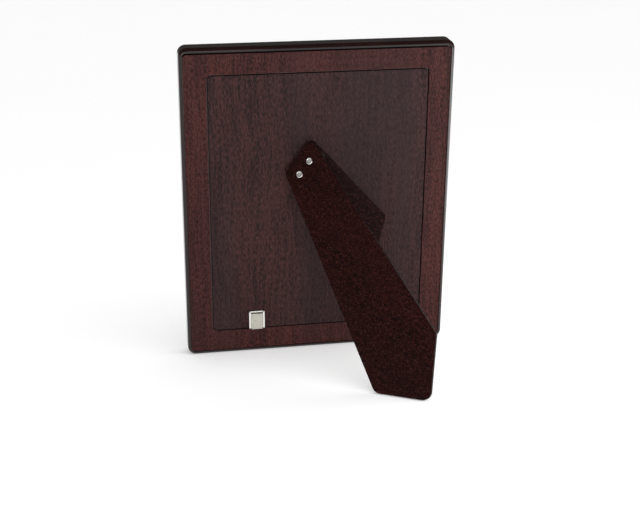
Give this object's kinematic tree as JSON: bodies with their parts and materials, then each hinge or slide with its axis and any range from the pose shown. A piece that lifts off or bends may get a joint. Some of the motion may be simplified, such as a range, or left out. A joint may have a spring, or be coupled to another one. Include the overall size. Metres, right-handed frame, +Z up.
{
  "type": "standing picture frame",
  "caption": "Standing picture frame with a black gloss moulding, veneered back, spring catches and a diagonal easel leg for standing it upright or sideways.",
  "frame": {"origin": "middle of the footprint on the table, between the moulding's front edge and the foot of the open leg", "axes": "+Z up, +Y towards the back where the leg stands, +X to the right seen from the front"},
  "size_m": [0.258, 0.1872, 0.3072],
  "materials": {
    "moulding_lacquer": "high-gloss red-black lacquer over fibreboard",
    "steel_nail": "plain steel",
    "clear_glass": "clear picture glass",
    "print_paper": "blank matt print",
    "filler_board": "plain card",
    "plate_veneer": "red-brown veneer, satin",
    "panel_veneer": "red-brown veneer, satin",
    "leg_veneer": "dark red-brown veneer, fine pores",
    "catch_nickel": "bright nickel plate",
    "hinge_steel": "zinc-plated steel",
    "spring_steel": "spring wire"
  },
  "bodies": {
    "frame": {"rail_top": "moulding_lacquer", "rail_bottom": "moulding_lacquer", "rail_left": "moulding_lacquer", "rail_right": "moulding_lacquer", "corner_nails": "steel_nail", "glass_pane": "clear_glass", "print_sheet": "print_paper", "filler_card": "filler_board", "rear_plate": "plate_veneer", "back_panel": "panel_veneer", "panel_tongues": "steel_nail", "tongue_nails": "steel_nail", "catch_case_left": "catch_nickel", "catch_case_right": "catch_nickel", "catch_spring_left": "spring_steel", "catch_spring_right": "spring_steel", "catch_nails": "steel_nail", "leg_base": "leg_veneer", "hinge_leaf_base": "hinge_steel", "hinge_pin": "hinge_steel", "base_screws": "steel_nail"},
    "leg": {"leg": "leg_veneer", "hinge_leaf_leg": "hinge_steel", "leg_rivets": "catch_nickel"},
    "slide_left": {"catch_slide_left": "catch_nickel"},
    "slide_right": {"catch_slide_right": "catch_nickel"}
  },
  "joints": [
    {"name": "leg_fold", "type": "hinge", "parent": "frame", "child": "leg", "pos_m": [0.0156, -0.04515, 0.19759], "axis": [-0.5878, 0.1042, 0.8023], "range_deg": [0, 42]},
    {"name": "catch_left", "type": "slide", "parent": "frame", "child": "slide_left", "axis": [0, 0.1288, 0.9917], "range_m": [0, 0.003], "stiffness_N_per_m": 300, "springref_m": -0.002},
    {"name": "catch_right", "type": "slide", "parent": "frame", "child": "slide_right", "axis": [0, 0.1288, 0.9917], "range_m": [0, 0.003], "stiffness_N_per_m": 300, "springref_m": -0.002}
  ]
}
